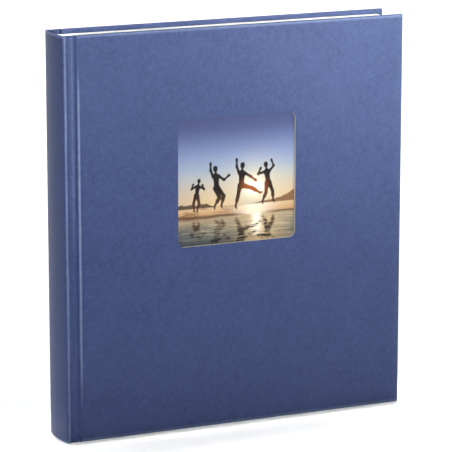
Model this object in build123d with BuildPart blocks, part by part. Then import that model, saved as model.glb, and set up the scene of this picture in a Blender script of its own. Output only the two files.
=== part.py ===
from build123d import *
import os

# A book-bound scrapbook album standing closed on its tail edge.
# +Z is up, the front cover faces -Y and the spine is at -X.
# The origin is under the middle of the closed album, on the surface it stands on.

# Driving dimensions, in millimetres

# The closed album
album_width = 292.0
album_height = 320.0
album_thickness = 38.0

# Case: two cover boards and a curved spine board in one wrap of cover paper
board_thickness = 2.5
spine_board_thickness = 1.2
paper_thickness = 0.25
turn_in = 15.0
spine_bulge = 2.6
ridge_radius = 2.0
ridge_width = 2.5
joint_width = 10.5
joint_sheet_thickness = 0.4
groove_offset = 5.0
groove_depth = 1.4

# Title window in the front cover and the print behind it
window_size = 101.0
window_radius = 5.5
window_rise = 37.7
print_margin = 9.0

# Text block: folded sheets sewn in sections, with guards that keep the leaves apart
section_count = 6
sheets_per_section = 2
leaf_thickness = 0.35
head_square = 4.0
fore_edge_square = 5.5
back_setback = 8.0
guard_width = 14.0
guard_setback = 1.0
crease_gap = 0.25

# Endpapers: pastedown, fold and flyleaf
flyleaf_gap = 0.15
flyleaf_stub = 6.0

# Backing of the text block: thread, gauze and lining paper
thread_radius = 0.2
stitch_length = 24.0
stitch_count = 4
stitch_spacing = 76.0
gauze_thickness = 0.25
gauze_flange_width = 20.0
lining_thickness = 0.3

# Places worked out from the driving dimensions

half_thickness = album_thickness / 2
spine_x = -album_width / 2
fore_edge_x = album_width / 2
shoulder_x = spine_x + spine_bulge
board_x = shoulder_x + joint_width
spine_radius = (half_thickness**2 + spine_bulge**2) / (2 * spine_bulge)

# Distances of the cover's layers from the middle of the album, inside to outside
board_outer = half_thickness - paper_thickness
board_inner = board_outer - board_thickness
turn_in_inner = board_inner - paper_thickness
pastedown_inner = turn_in_inner - paper_thickness

window_x = (shoulder_x + fore_edge_x) / 2
window_z = album_height / 2 + window_rise
print_size = window_size + 2 * print_margin

# Text block
leaves_per_section = 2 * sheets_per_section
leaf_count = section_count * leaves_per_section
block_height = album_height - 2 * head_square
block_back_x = shoulder_x + back_setback
leaf_end_x = fore_edge_x - fore_edge_square
crease_x = block_back_x + guard_width
flyleaf_x = block_back_x + flyleaf_stub
flyleaf_depth = pastedown_inner - flyleaf_gap - paper_thickness / 2
leaf_pitch = flyleaf_depth / ((leaf_count + 1) / 2)
# A section's sheets nest round its middle, the innermost half a pitch away from it
fold_radii = [(ring + 1 / 2) * leaf_pitch for ring in range(sheets_per_section)]
fold_x = block_back_x + fold_radii[-1] + leaf_thickness / 2

FRONT = 1
BACK = -1


def save(piece, name):
    """Label a finished piece and write it as a STEP file of that name."""
    piece.part.label = name
    export_step(piece.part, f"parts/{name}.step")


def cover_plane(side, depth):
    """A plane parallel to the covers, depth away from the album's middle towards one side."""
    return Plane.XZ.offset(side * depth)


def cover_rectangle(side, depth, x_low, x_high, edge):
    """A rectangle on a cover plane, from x_low to x_high and edge short of the head and tail."""
    with BuildSketch(cover_plane(side, depth)) as outline:
        with Locations(((x_low + x_high) / 2, album_height / 2)):
            Rectangle(x_high - x_low, album_height - 2 * edge)
    return outline.sketch


def window_outline(depth):
    """The rounded square of the title window, on a cover plane of the front side."""
    with BuildSketch(cover_plane(FRONT, depth)) as outline:
        with Locations((window_x, window_z)):
            RectangleRounded(window_size, window_size, window_radius)
    return outline.sketch


def make_board(side):
    """A cover board; the front one has the title window cut through it."""
    with BuildPart() as board:
        outline = cover_rectangle(
            side, board_inner, board_x, fore_edge_x - paper_thickness, paper_thickness
        )
        extrude(outline, amount=side * board_thickness)
        if side == FRONT:
            extrude(window_outline(board_inner), amount=board_thickness, mode=Mode.SUBTRACT)
    return board


def make_cover_paper(side):
    """The wrap of one cover: outer face, three wrapped edges and their turn-ins."""
    wrap_thickness = half_thickness - turn_in_inner
    with BuildPart() as paper:
        whole = cover_rectangle(side, turn_in_inner, board_x, fore_edge_x, 0)
        extrude(whole, amount=side * wrap_thickness)
        cavity = cover_rectangle(
            side, board_inner, board_x, fore_edge_x - paper_thickness, paper_thickness
        )
        extrude(cavity, amount=side * board_thickness, mode=Mode.SUBTRACT)
        mouth = cover_rectangle(side, turn_in_inner, board_x, fore_edge_x - turn_in, turn_in)
        extrude(mouth, amount=side * paper_thickness, mode=Mode.SUBTRACT)
        if side == FRONT:
            extrude(window_outline(board_outer), amount=paper_thickness, mode=Mode.SUBTRACT)
    return paper


def make_board_lining(side):
    """The filling sheet between the turn-ins; the front one leaves room for the title print."""
    with BuildPart() as lining:
        outline = cover_rectangle(
            side, turn_in_inner, board_x + gauze_flange_width, fore_edge_x - turn_in, turn_in
        )
        extrude(outline, amount=side * paper_thickness)
        if side == FRONT:
            with BuildSketch(cover_plane(FRONT, turn_in_inner)):
                with Locations((window_x, window_z)):
                    Rectangle(print_size, print_size)
            extrude(amount=paper_thickness, mode=Mode.SUBTRACT)
    return lining


def make_pastedown(side):
    """The half of an endpaper that is pasted to the inside of its board."""
    with BuildPart() as pastedown:
        outline = cover_rectangle(side, pastedown_inner, board_x, leaf_end_x, head_square)
        extrude(outline, amount=side * paper_thickness)
    return pastedown


def make_endpaper_fold(side):
    """The fold of an endpaper: across the inner joint, round, and back along the first guard."""
    outer = turn_in_inner
    inner = flyleaf_depth - paper_thickness / 2
    bend = (outer + inner) / 2
    bend_radius = (outer - inner) / 2
    gap_radius = bend_radius - paper_thickness
    bend_x = block_back_x + bend_radius
    stub_x = flyleaf_x - crease_gap
    with BuildPart() as fold:
        with BuildSketch(Plane.XY.offset(head_square)):
            with BuildLine():
                Line((board_x, -side * outer), (bend_x, -side * outer))
                ThreePointArc(
                    (bend_x, -side * outer),
                    (bend_x - bend_radius, -side * bend),
                    (bend_x, -side * inner),
                )
                Polyline(
                    (bend_x, -side * inner),
                    (stub_x, -side * inner),
                    (stub_x, -side * (inner + paper_thickness)),
                    (bend_x, -side * (inner + paper_thickness)),
                )
                ThreePointArc(
                    (bend_x, -side * (bend - gap_radius)),
                    (bend_x - gap_radius, -side * bend),
                    (bend_x, -side * (bend + gap_radius)),
                )
                Polyline(
                    (bend_x, -side * (bend + gap_radius)),
                    (board_x, -side * (outer - paper_thickness)),
                    (board_x, -side * outer),
                )
            make_face()
        extrude(amount=block_height)
    return fold


def make_flyleaf(side):
    """The free half of an endpaper, from its crease to the fore-edge."""
    with BuildPart() as flyleaf:
        outline = cover_rectangle(
            side, flyleaf_depth - paper_thickness / 2, flyleaf_x, leaf_end_x, head_square
        )
        extrude(outline, amount=side * paper_thickness)
    return flyleaf


def make_joint_strip(side):
    """The cover paper across the outer joint, pressed down into its groove."""
    ridge_x = shoulder_x + ridge_width
    groove_x = shoulder_x + groove_offset
    with BuildPart() as strip:
        with BuildSketch():
            with BuildLine():
                Spline(
                    (ridge_x, -side * half_thickness),
                    (groove_x, -side * (half_thickness - groove_depth)),
                    (board_x, -side * half_thickness),
                    tangents=[(1, 0), (1, 0)],
                )
                Line(
                    (board_x, -side * half_thickness),
                    (board_x, -side * (half_thickness - joint_sheet_thickness)),
                )
                Spline(
                    (board_x, -side * (half_thickness - joint_sheet_thickness)),
                    (groove_x, -side * (half_thickness - groove_depth - joint_sheet_thickness)),
                    (ridge_x, -side * (half_thickness - joint_sheet_thickness)),
                    tangents=[(-1, 0), (-1, 0)],
                )
                Line(
                    (ridge_x, -side * (half_thickness - joint_sheet_thickness)),
                    (ridge_x, -side * half_thickness),
                )
            make_face()
        extrude(amount=album_height)
    return strip


def make_gauze_flange(side):
    """The side flange of the gauze, from the block's back to under the pastedown."""
    with BuildPart() as flange:
        outline = cover_rectangle(
            side,
            turn_in_inner,
            block_back_x - 2 * thread_radius,
            board_x + gauze_flange_width,
            turn_in,
        )
        extrude(outline, amount=side * gauze_thickness)
    return flange


def corner_x(inset):
    """Where the spine's arc, inset by some thickness, meets the line of the covers."""
    centre_x = spine_x + spine_radius
    return centre_x - ((spine_radius - inset) ** 2 - (half_thickness - inset) ** 2) ** 0.5


def spine_outline(inset, closing_x):
    """The spine's D section, inset by some thickness and closed by a straight side."""
    half = half_thickness - inset
    corner = corner_x(inset)
    with BuildSketch() as outline:
        with BuildLine():
            ThreePointArc((corner, -half), (spine_x + inset, 0), (corner, half))
            Polyline((corner, half), (closing_x, half), (closing_x, -half), (corner, -half))
        make_face()
        if ridge_radius > inset:
            corners = outline.vertices().sort_by(Axis.X)[:2]
            fillet(corners, ridge_radius - inset)
    return outline.sketch


def spine_layer(outer, inner, end_x, z_low, z_high):
    """Add one curved layer of the spine between two insets and two heights, up to end_x."""
    trim_width = end_x - spine_x
    with BuildSketch(Plane.XY.offset(z_low)) as layer:
        add(spine_outline(outer, board_x))
        add(spine_outline(inner, board_x + ridge_width), mode=Mode.SUBTRACT)
        with Locations((spine_x + trim_width / 2, 0)):
            Rectangle(trim_width, album_thickness, mode=Mode.INTERSECT)
    extrude(layer.sketch, amount=z_high - z_low)


def fold_outline(y, outer, inner, end_x):
    """The U section of a sheet or guard folded round the line y, with legs up to end_x."""
    with BuildSketch(Plane.XY.offset(head_square)) as outline:
        with BuildLine():
            ThreePointArc((fold_x, y - outer), (fold_x - outer, y), (fold_x, y + outer))
            Polyline(
                (fold_x, y + outer), (end_x, y + outer), (end_x, y + inner), (fold_x, y + inner)
            )
            ThreePointArc((fold_x, y + inner), (fold_x - inner, y), (fold_x, y - inner))
            Polyline(
                (fold_x, y - inner), (end_x, y - inner), (end_x, y - outer), (fold_x, y - outer)
            )
        make_face()
    return outline.sketch


def section_y(section):
    """The middle of a section, counted from 1 at the front cover."""
    return (section - (section_count + 1) / 2) * leaves_per_section * leaf_pitch


def make_section_fold(section):
    """The folded stubs of a section's nested sheets, up to the crease of their leaves."""
    with BuildPart() as folds:
        for radius in fold_radii:
            outline = fold_outline(
                section_y(section),
                radius + leaf_thickness / 2,
                radius - leaf_thickness / 2,
                crease_x - crease_gap,
            )
            extrude(outline, amount=block_height)
    return folds


def add_flat_guard(y_low, y_high, back_x):
    """Add a flat guard strip between two stubs."""
    end_x = crease_x - guard_setback
    with BuildSketch(Plane.XY.offset(head_square)) as outline:
        with Locations(((back_x + end_x) / 2, (y_low + y_high) / 2)):
            Rectangle(end_x - back_x, y_high - y_low)
    extrude(outline.sketch, amount=block_height)


def make_guards(section):
    """The guards inside one section and the flat ones that part it from its neighbours."""
    y = section_y(section)
    core = fold_radii[0] - leaf_thickness / 2
    outermost = fold_radii[-1] + leaf_thickness / 2
    flyleaf_face = flyleaf_depth - paper_thickness / 2
    with BuildPart() as guards:
        add_flat_guard(y - core, y + core, fold_x)
        for inner_fold, outer_fold in zip(fold_radii, fold_radii[1:]):
            outline = fold_outline(
                y,
                outer_fold - leaf_thickness / 2,
                inner_fold + leaf_thickness / 2,
                crease_x - guard_setback,
            )
            extrude(outline, amount=block_height)
        if section == 1:
            add_flat_guard(-flyleaf_face, y - outermost, fold_x)
        else:
            previous = section_y(section - 1) + outermost
            add_flat_guard(previous, y - outermost, fold_x)
        if section == section_count:
            add_flat_guard(y + outermost, flyleaf_face, fold_x)
    return guards


def make_leaf(number):
    """One card leaf, from its crease to the fore-edge, counted from 1 at the front cover."""
    y = (number - (leaf_count + 1) / 2) * leaf_pitch
    with BuildPart() as leaf:
        outline = cover_rectangle(
            FRONT, -y - leaf_thickness / 2, crease_x, leaf_end_x, head_square
        )
        extrude(outline, amount=leaf_thickness)
    return leaf


os.makedirs("parts", exist_ok=True)

# Covers, with everything that is pasted to them
for side, name in ((FRONT, "front"), (BACK, "back")):
    save(make_board(side), f"{name}_board")
    save(make_cover_paper(side), f"{name}_cover_paper")
    save(make_board_lining(side), f"{name}_board_lining")
    save(make_pastedown(side), f"{name}_pastedown")
    save(make_endpaper_fold(side), f"{name}_endpaper_fold")
    save(make_flyleaf(side), f"{name}_flyleaf")
    save(make_joint_strip(side), f"{name}_joint_strip")
    save(make_gauze_flange(side), f"{name}_gauze_flange")

# Title print, held between the front board and its pastedown
with BuildPart() as title_print:
    with BuildSketch(cover_plane(FRONT, turn_in_inner)):
        with Locations((window_x, window_z)):
            Rectangle(print_size, print_size)
    extrude(amount=paper_thickness)
save(title_print, "title_print")

# Spine of the case: a curved board in its wrap of cover paper
wrap_inset = paper_thickness + spine_board_thickness
spine_inset = wrap_inset + paper_thickness
spine_board_end = corner_x(wrap_inset)

with BuildPart() as spine_board:
    spine_layer(
        paper_thickness,
        wrap_inset,
        spine_board_end,
        paper_thickness,
        album_height - paper_thickness,
    )
save(spine_board, "spine_board")

with BuildPart() as spine_cover_paper:
    spine_layer(0, paper_thickness, shoulder_x + ridge_width, 0, album_height)
    for edge_low in (0, album_height - paper_thickness):
        spine_layer(
            paper_thickness, spine_inset, spine_board_end, edge_low, edge_low + paper_thickness
        )
    for turn_low in (0, album_height - turn_in):
        spine_layer(wrap_inset, spine_inset, spine_board_end, turn_low, turn_low + turn_in)
save(spine_cover_paper, "spine_cover_paper")

# Sewn sections
for section in range(1, section_count + 1):
    save(make_section_fold(section), f"section_{section}_fold")
    save(make_guards(section), f"section_{section}_guards")

# Sewing thread: long stitches on each section's back, each row linked across the sections above it
with BuildPart() as sewing_threads:
    thread_x = block_back_x - thread_radius
    for station in range(stitch_count):
        stitch_z = album_height / 2 + (station - (stitch_count - 1) / 2) * stitch_spacing
        for section in range(1, section_count + 1):
            with Locations((thread_x, section_y(section), stitch_z)):
                Cylinder(thread_radius, stitch_length)
        with BuildSketch(Plane.XZ.offset(-section_y(section_count))):
            with Locations((thread_x, stitch_z + stitch_length / 2 + thread_radius)):
                Circle(thread_radius)
        extrude(amount=section_y(section_count) - section_y(1))
save(sewing_threads, "sewing_threads")

# Gauze over the threads, and the lining paper on it
gauze_x = block_back_x - 2 * thread_radius - gauze_thickness
with BuildPart() as spine_gauze:
    with BuildSketch(Plane.XY.offset(turn_in)):
        with Locations((gauze_x + gauze_thickness / 2, 0)):
            Rectangle(gauze_thickness, 2 * board_inner)
    extrude(amount=album_height - 2 * turn_in)
save(spine_gauze, "spine_gauze")

with BuildPart() as spine_lining:
    with BuildSketch(Plane.XY.offset(head_square)):
        with Locations((gauze_x - lining_thickness / 2, 0)):
            Rectangle(lining_thickness, 2 * flyleaf_depth)
    extrude(amount=block_height)
save(spine_lining, "spine_lining")

# Leaves
for number in range(1, leaf_count + 1):
    save(make_leaf(number), f"leaf_{number:02d}")
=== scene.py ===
"""A scrapbook album: paper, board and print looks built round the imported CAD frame."""

import math

import bmesh
import bpy
import numpy as np
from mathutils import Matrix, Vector


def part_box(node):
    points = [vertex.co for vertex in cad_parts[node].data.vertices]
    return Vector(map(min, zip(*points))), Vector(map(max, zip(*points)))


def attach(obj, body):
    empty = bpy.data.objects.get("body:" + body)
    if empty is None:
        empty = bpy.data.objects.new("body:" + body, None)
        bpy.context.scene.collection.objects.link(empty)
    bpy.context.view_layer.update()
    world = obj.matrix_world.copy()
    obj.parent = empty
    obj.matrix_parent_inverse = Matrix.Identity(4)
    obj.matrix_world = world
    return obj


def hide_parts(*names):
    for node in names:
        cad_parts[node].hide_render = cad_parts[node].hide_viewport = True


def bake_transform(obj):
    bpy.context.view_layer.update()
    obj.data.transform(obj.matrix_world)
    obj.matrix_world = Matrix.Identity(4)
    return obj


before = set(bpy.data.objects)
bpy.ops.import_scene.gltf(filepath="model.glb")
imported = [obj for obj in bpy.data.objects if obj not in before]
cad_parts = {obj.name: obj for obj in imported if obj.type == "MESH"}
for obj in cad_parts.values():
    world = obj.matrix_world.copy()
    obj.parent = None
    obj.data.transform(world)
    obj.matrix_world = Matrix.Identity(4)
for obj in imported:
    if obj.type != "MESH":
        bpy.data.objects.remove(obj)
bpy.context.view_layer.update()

# Sizes are in millimetres and in the frame's own axes. Depth is the distance from
# the album's middle plane towards one cover, so y is -side * depth.

MM = 0.001
FRONT, BACK = 1, -1
COVERS = ((FRONT, "front"), (BACK, "back"))


def node_box(node):
    """Lowest and highest corner of a CAD node, in millimetres."""
    low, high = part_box(node)
    return np.array(low) / MM, np.array(high) / MM


# Measures of the CAD frame
spine_low, spine_high = node_box("spine_cover_paper")
board_low, board_high = node_box("front_board")
_, wrap_high = node_box("front_cover_paper")
flange_low, flange_high = node_box("front_gauze_flange")
fold_low, _ = node_box("front_endpaper_fold")
print_low, print_high = node_box("title_print")
flyleaf_low, flyleaf_high = node_box("front_flyleaf")
gauze_low, gauze_high = node_box("spine_gauze")

ALBUM_HEIGHT = spine_high[2]
HALF_THICKNESS = -spine_low[1]
SPINE_X = spine_low[0]
RIDGE_END_X = spine_high[0]
FORE_EDGE_X = wrap_high[0]
BOARD_X = board_low[0]
BOARD_INNER = -board_high[1]
BOARD_OUTER = -board_low[1]
PAPER = HALF_THICKNESS - BOARD_OUTER
WRAP_INNER = BOARD_INNER - PAPER
SQUARE = flyleaf_low[2]
FLYLEAF_CREASE_X = flyleaf_low[0]
LEAF_END_X = flyleaf_high[0]

# Case measures that the frame's boxes don't show
SPINE_BULGE = 2.6
RIDGE_RADIUS = 2.0
TURN_IN = 15.0
SPINE_WALL = 1.7
JOINT_WALL = 0.9
COVER_WALL = HALF_THICKNESS - WRAP_INNER
WRAP_ROUNDING = 1.0
SPINE_ROUNDING = 0.6
JOINT_ROUNDING = 0.42
SEAM_DEPTH = 12.0
BOARD_SETBACK = 2.2

SPINE_RADIUS = (HALF_THICKNESS**2 + SPINE_BULGE**2) / (2 * SPINE_BULGE)
SPINE_CENTRE_X = SPINE_X + SPINE_RADIUS
RIDGE_ANGLE = math.asin((HALF_THICKNESS - RIDGE_RADIUS) / (SPINE_RADIUS - RIDGE_RADIUS))
RIDGE_X = SPINE_CENTRE_X - (SPINE_RADIUS - RIDGE_RADIUS) * math.cos(RIDGE_ANGLE)
RIDGE_TOP_X = RIDGE_X + 0.1

# The outer joint: places along x, and how far each lies below the cover's face
VALLEY_X, VALLEY_DIP = RIDGE_X + 2.9, 1.4
BEAD_X, BEAD_DIP = RIDGE_X + 6.0, 0.75
CREASE_X, GROOVE_DEPTH = BOARD_X - 0.2, 1.5
JOINT_EDGE_X = BOARD_X + 1.9
LINE_X, LINE_DIP = BOARD_X + 3.4, 0.3

# Title window
WINDOW_HALF = 50.5
WINDOW_RADIUS = 5.5
WINDOW_X = (print_low[0] + print_high[0]) / 2
WINDOW_Z = (print_low[2] + print_high[2]) / 2
WINDOW_PATCH = 56.0

# Rings of points round the window: distance from its edge, and height over the face
WRAP_RIM = [(0, -0.17), (0.05, -0.06), (0.17, 0), (1.0, 0), (2.8, 0)]
BOARD_RIM = [(0, 0), (1.0, 0), (2.8, 0)]

# Leaves and interleaves
CREASE_GAP = 0.25
CREASE_RUN = 2.0
LEAF_VARIATION = 0.25
INTERLEAF_GAP = 0.43
INTERLEAF_SHORT = 2.0
INTERLEAF_TRIM = 1.0
INTERLEAF_THICKNESS = 0.1
FLYLEAF_RIPPLE = 0.03
LEAF_RIPPLE = 0.1
INTERLEAF_RIPPLE = 0.14

# Widest spacing of mesh lines, and the angle in degrees above which an edge is sharp
BOARD_STEP = 9
GAUZE_STEP = 2
SHEET_STEP = 12
LEAF_STEP = 10
GAUZE_LEVEL_STEP = 6
BEND_STEP = 0.25
STUB_STEP = 1.5
WINDOW_STEP = 1.4
STRAIGHT_STEP = 15
PRINT_PITCH = 0.45
SHARP_ANGLE = 32

# Lines that resolve a rounded edge, as shares of its radius, and distances from the
# edge of the lines beyond it
EDGE_SHARES = (0.0, 0.26, 0.5, 0.74, 1.0)
BOARD_MARGINS = (3, 7, TURN_IN)
SPINE_MARGINS = (2, 6, TURN_IN)
FORE_EDGE_MARGINS = (6, TURN_IN)

# How far the cover paper is painted pale at each place, as rubbed wear and painted highlight, and
# how far its ends are painted dark as painted shade
RIDGE_WEAR_HIGHLIGHT, JOINT_WEAR_HIGHLIGHT, BEAD_HIGHLIGHT = 0.5, 0.55, 0.16
BEVEL_HIGHLIGHT, SPINE_RIM_HIGHLIGHT, RUB_FORE_EDGE = 0.35, 0.4, 0.35
END_PAINTED_SHADE = 0.45


# ---- mesh helpers


def add_object(name, data):
    """A new object in the scene."""
    made = bpy.data.objects.new(name, data)
    bpy.context.scene.collection.objects.link(made)
    return made


def mesh_object(name, points, faces, material):
    """A mesh object from points in millimetres, with its faces turned outward."""
    mesh = bpy.data.meshes.new(name)
    mesh.from_pydata([tuple(p) for p in np.asarray(points) * MM], [], faces)
    shape = bmesh.new()
    shape.from_mesh(mesh)
    bmesh.ops.recalc_face_normals(shape, faces=shape.faces)
    shape.to_mesh(mesh)
    shape.free()
    mesh.polygons.foreach_set("use_smooth", [True] * len(mesh.polygons))
    mesh.set_sharp_from_angle(angle=math.radians(SHARP_ANGLE))
    mesh.materials.append(material)
    return add_object(name, mesh)


def thicken(outer, inner, faces):
    """Points and faces of a closed sheet between two matching surfaces."""
    count = len(outer)
    uses = {}
    for face in faces:
        for a, b in zip(face, face[1:] + face[:1]):
            uses[(a, b)] = uses.get((a, b), 0) + 1
    rim = [(a, b) for (a, b) in uses if (b, a) not in uses]
    closed = list(faces)
    closed += [tuple(count + v for v in reversed(face)) for face in faces]
    closed += [(b, a, count + a, count + b) for a, b in rim]
    return np.vstack([outer, inner]), closed


def spread(low, high, step):
    """Evenly spaced values from low to high, no further apart than step."""
    return list(np.linspace(low, high, max(2, int(math.ceil((high - low) / step)) + 1)))


def swept_sheet(name, line, heights, thickness, material, ripple=None):
    """A sheet of some thickness standing on a plan line of (x, y) points."""
    line = np.array(line, float)
    along = np.gradient(line, axis=0)
    along /= np.linalg.norm(along, axis=1)[:, None]
    normal = np.column_stack([along[:, 1], -along[:, 0]])
    columns, rows = len(line), len(heights)
    x = np.repeat(line[:, 0], rows)
    y = np.repeat(line[:, 1], rows)
    z = np.tile(np.array(heights, float), columns)
    offset = np.column_stack([np.repeat(normal, rows, axis=0), np.zeros(len(x))])
    middle = np.column_stack([x, y, z])
    if ripple:
        middle = middle + ripple(x, z)[:, None] * offset
    faces = [
        (c * rows + r, (c + 1) * rows + r, (c + 1) * rows + r + 1, c * rows + r + 1)
        for c in range(columns - 1)
        for r in range(rows - 1)
    ]
    half = offset * thickness / 2
    return mesh_object(name, *thicken(middle + half, middle - half, faces), material)


class Slab:
    """A flat or curved slab with rounded edges, as a lattice of points over its surface.

    It lies on an outer line of (x, depth) points. The lattice runs along the line,
    up the height, and through the wall."""

    def __init__(self, side, line, wall, radius, low, high, levels, open_start, open_end):
        self.side = side
        self.line = np.array(line, float)
        along = np.gradient(self.line, axis=0)
        self.along = along / np.linalg.norm(along, axis=1)[:, None]
        self.normal = np.column_stack([-self.along[:, 1], self.along[:, 0]])
        steps = np.linalg.norm(np.diff(self.line, axis=0), axis=1)
        self.s = np.concatenate([[0], np.cumsum(steps)])
        self.wall = np.broadcast_to(wall, self.s.shape).astype(float)
        self.radius = np.broadcast_to(radius, self.s.shape).astype(float)
        self.low, self.high = low, high
        self.levels = list(levels)
        self.open_start, self.open_end = open_start, open_end
        shares = np.array(EDGE_SHARES)
        self.counts = (len(self.s), 2 * len(shares) + len(self.levels), 2 * len(shares))

    def lattice(self, i, j, k):
        """(s, w, z) of a lattice point before its edges are rounded; w is at most 0."""
        shares, radius = EDGE_SHARES, self.radius[i]
        edge = len(shares)
        if j < edge:
            z = self.low + shares[j] * radius
        elif j >= edge + len(self.levels):
            z = self.high - shares[self.counts[1] - 1 - j] * radius
        else:
            z = self.levels[j - edge]
        w = -shares[k] * radius if k < edge else shares[2 * edge - 1 - k] * radius - self.wall[i]
        return self.s[i], w, z

    def place(self, i, s, w, z):
        """A point in the frame from the slab's own coordinates near line point i."""
        x, depth = self.line[i] + self.along[i] * (s - self.s[i]) + self.normal[i] * w
        return np.array([x, -self.side * depth, z])

    def rounded(self, i, j, k, inset=0.0):
        """A lattice point moved onto the rounded surface, or onto one inset from it."""
        s, w, z = self.lattice(i, j, k)
        radius = self.radius[i]
        s_low = -1e9 if self.open_start else radius
        s_high = 1e9 if self.open_end else self.s[-1] - radius
        p = np.array([s, w, z])
        q = np.clip(
            p,
            [s_low, -self.wall[i] + radius, self.low + radius],
            [s_high, -radius, self.high - radius],
        )
        away = p - q
        length = np.linalg.norm(away)
        if length > 1e-9:
            q = q + away / length * (radius - inset)
        return self.place(i, *q)

    def surface(self, keep):
        """The lattice keys of the kept quads, the number of each key, and the quads."""
        quads = self.quads(keep)
        keys = sorted({key for face in quads for key in face})
        index = {key: n for n, key in enumerate(keys)}
        return keys, index, [tuple(index[key] for key in face) for face in quads]

    def quads(self, keep):
        """Quads of lattice points over the slab's sides, where keep(axis, end, u, v) says so."""
        found = []
        for axis in range(3):
            a, b = [n for n in range(3) if n != axis]
            for end in (0, 1):
                if axis == 0 and (self.open_end if end else self.open_start):
                    continue
                for u in range(self.counts[a] - 1):
                    for v in range(self.counts[b] - 1):
                        if not keep(axis, end, u, v):
                            continue
                        face = []
                        for du, dv in ((0, 0), (1, 0), (1, 1), (0, 1)):
                            key = [0, 0, 0]
                            key[axis] = end * (self.counts[axis] - 1)
                            key[a], key[b] = u + du, v + dv
                            face.append(tuple(key))
                        turned = (end == 1) ^ (axis == 1)
                        found.append(face if turned else face[::-1])
        return found


def window_steps():
    """Offsets from the window's middle of the lattice lines that cross its patch."""
    straight = WINDOW_HALF - WINDOW_RADIUS
    half = spread(0, straight, STRAIGHT_STEP)
    half += spread(straight, WINDOW_PATCH, WINDOW_STEP)[1:]
    return sorted({round(v, 6) for v in half} | {round(-v, 6) for v in half})


def nearest(values, wanted):
    """The number of the value that is nearest to the wanted one."""
    return int(np.argmin(np.abs(np.array(values) - wanted)))


def board_lines(low, high, window_middle):
    """Places of mesh lines from low to high, with the window's lines round its middle."""
    if window_middle is None:
        return set(np.round(spread(low, high, BOARD_STEP), 6))
    lines = [round(window_middle + u, 6) for u in window_steps()]
    before, after = spread(low, lines[0], BOARD_STEP), spread(lines[-1], high, BOARD_STEP)
    return set(lines) | set(np.round(before, 6)) | set(np.round(after, 6))


def board_line(depth, start_x, end_x, radius, window):
    """Plan points along a flat board face, with the lines its edges and window need."""
    ends = list(end_x - np.array(EDGE_SHARES) * radius)
    ends += [end_x - margin for margin in FORE_EDGE_MARGINS]
    xs = set(np.round(ends, 6))
    xs |= board_lines(start_x, end_x - TURN_IN, WINDOW_X if window else None)
    return [(x, depth) for x in sorted(xs) if x >= start_x - 1e-6]


def board_levels(low, high, window):
    """Heights between a board's rounded edges."""
    zs = {round(low + m, 6) for m in BOARD_MARGINS} | {round(high - m, 6) for m in BOARD_MARGINS}
    zs |= board_lines(low + TURN_IN, high - TURN_IN, WINDOW_Z if window else None)
    return sorted(zs)


def window_patch(slab, rims):
    """Rings of points from the window's edge out to the lattice lines round it.

    rims is a list of (distance from the edge, w). Gives the points of each ring, the
    lattice keys (i, j) round the patch in the same order, and the patch's bounds."""
    xs = slab.line[:, 0]
    zs = [slab.lattice(nearest(xs, WINDOW_X), j, 0)[2] for j in range(slab.counts[1])]
    i0, i1 = nearest(xs, WINDOW_X - WINDOW_PATCH), nearest(xs, WINDOW_X + WINDOW_PATCH)
    j0, j1 = nearest(zs, WINDOW_Z - WINDOW_PATCH), nearest(zs, WINDOW_Z + WINDOW_PATCH)
    around = [(i, j0) for i in range(i0, i1)] + [(i1, j) for j in range(j0, j1)]
    around += [(i, j1) for i in range(i1, i0, -1)] + [(i0, j) for j in range(j1, j0, -1)]
    straight = WINDOW_HALF - WINDOW_RADIUS
    rings = []
    for distance, w in rims:
        ring = []
        for i, j in around:
            p = np.array([xs[i] - WINDOW_X, zs[j] - WINDOW_Z])
            core = np.clip(p, -straight, straight)
            away = (p - core) / np.linalg.norm(p - core)
            u, v = core + away * (WINDOW_RADIUS + distance)
            y = -slab.side * (slab.line[i][1] + w)
            ring.append(np.array([WINDOW_X + u, y, WINDOW_Z + v]))
        rings.append(ring)
    return rings, around, (i0, i1, j0, j1)


def ring_faces(rings):
    """Quads between each closed ring of point numbers and the next."""
    return [
        (a[n], b[n], b[(n + 1) % len(a)], a[(n + 1) % len(a)])
        for a, b in rings
        for n in range(len(a))
    ]


def in_patch(bounds, i, j):
    """Whether a quad of the slab's face lies inside the window's patch."""
    i0, i1, j0, j1 = bounds
    return i0 <= i < i1 and j0 <= j < j1


def step(value, low, high):
    """0 below low and 1 above high, with a smooth change between."""
    t = np.clip((value - low) / (high - low), 0, 1)
    return t * t * (3 - 2 * t)


def between(value, low, high, first, last):
    """A smooth change from first to last as value goes from low to high."""
    return first + (last - first) * step(value, low, high)


def bell(value, middle, half_width):
    """1 at the middle, falling smoothly to 0 at half_width to each side."""
    return 1 - step(np.abs(value - middle), 0, half_width)


NOISE_CELLS = 97


def value_noise(u, v, seed):
    """Smooth noise from 0 to 1 over a lattice of unit cells."""
    grid = np.random.default_rng(seed).random((NOISE_CELLS, NOISE_CELLS))
    column, row = np.floor(u).astype(int), np.floor(v).astype(int)
    fu, fv = step(u - column, 0, 1), step(v - row, 0, 1)

    def at(a, b):
        return grid[(column + a) % NOISE_CELLS, (row + b) % NOISE_CELLS]

    low = at(0, 0) * (1 - fu) + at(1, 0) * fu
    high = at(0, 1) * (1 - fu) + at(1, 1) * fu
    return low * (1 - fv) + high * fv


def layered_noise(u, v, seed, layers=4):
    """Several sizes of noise added together, from 0 to 1."""
    total = sum(value_noise(u * 2**n, v * 2**n, seed + n) / 2**n for n in range(layers))
    return total / sum(1 / 2**n for n in range(layers))


# ---- the case's outline


def spine_points(first, last, count):
    """Points on the spine's arc between two depths."""
    angles = np.linspace(math.asin(first / SPINE_RADIUS), math.asin(last / SPINE_RADIUS), count)
    return [
        (SPINE_CENTRE_X - SPINE_RADIUS * math.cos(a), SPINE_RADIUS * math.sin(a))
        for a in angles
    ]


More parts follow.
